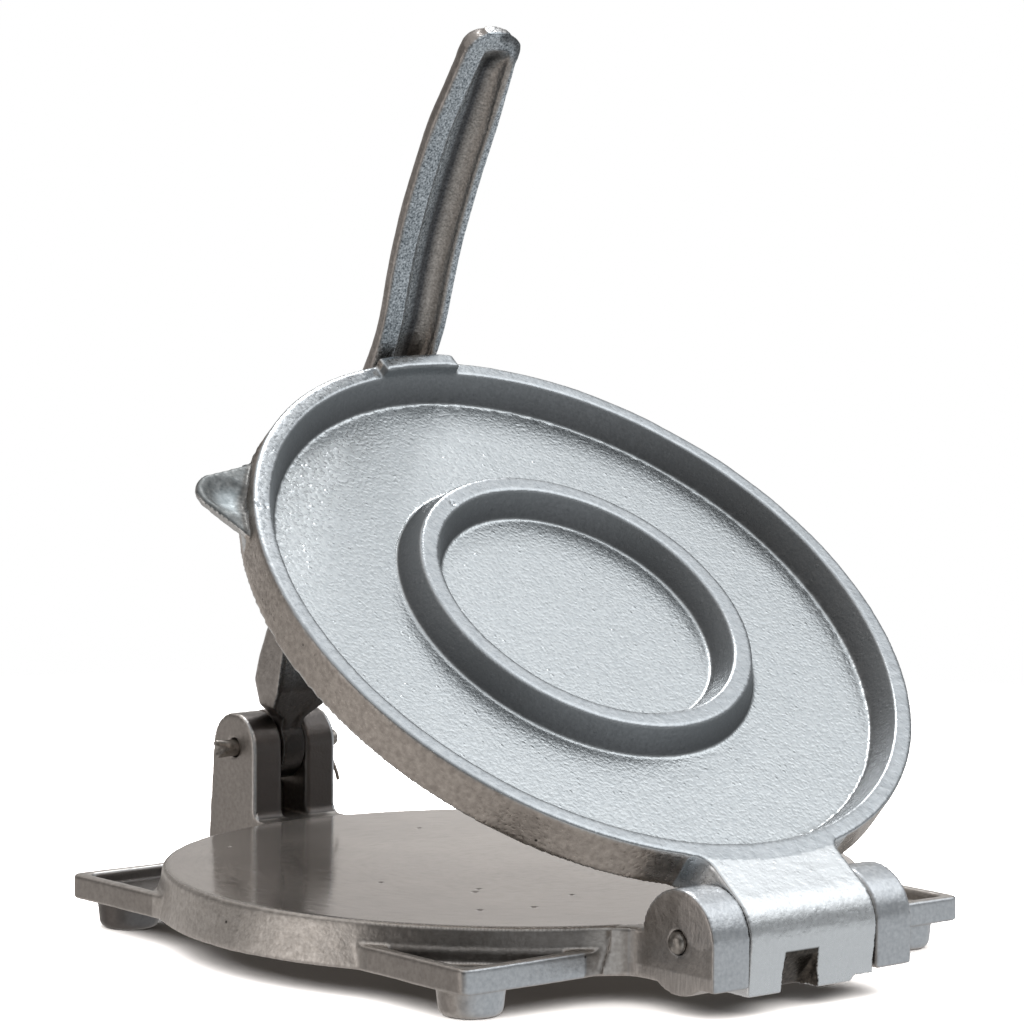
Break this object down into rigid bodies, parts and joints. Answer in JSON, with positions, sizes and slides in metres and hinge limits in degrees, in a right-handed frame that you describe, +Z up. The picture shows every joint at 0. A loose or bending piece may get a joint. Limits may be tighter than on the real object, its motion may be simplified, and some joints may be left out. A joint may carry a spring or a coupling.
{
  "type": "tortilla press",
  "caption": "Cast aluminium hand press: a round base on corner feet, a hinged round lid with a finger tab, and a lever on two posts that presses the closed lid down.",
  "frame": {"origin": "centre of the round base, on the surface that its feet stand on", "axes": "+Z up, +Y from the lid hinge to the lever posts, +X along the hinge pin, away from the finger tab's side"},
  "size_m": [0.202, 0.2541, 0.2585],
  "materials": {
    "base_metal": "sand cast, with a ground pressing face",
    "lid_metal": "sand cast, bright silver",
    "lever_metal": "sand cast, dull",
    "pin_steel": "plain drawn steel"
  },
  "bodies": {
    "base": {"base": "base_metal", "hinge_pin": "pin_steel", "lever_pin": "pin_steel", "lever_split_pin": "pin_steel"},
    "lid": {"lid": "lid_metal"},
    "lever": {"lever": "lever_metal"}
  },
  "joints": [
    {"name": "lid_hinge", "type": "hinge", "parent": "base", "child": "lid", "pos_m": [-0.0015, -0.113, 0.0195], "axis": [1, 0, 0], "range_deg": [-38, 72]},
    {"name": "lever_hinge", "type": "hinge", "parent": "base", "child": "lever", "pos_m": [0, 0.1137, 0.0422], "axis": [1, 0, 0], "range_deg": [-95, 0]}
  ]
}
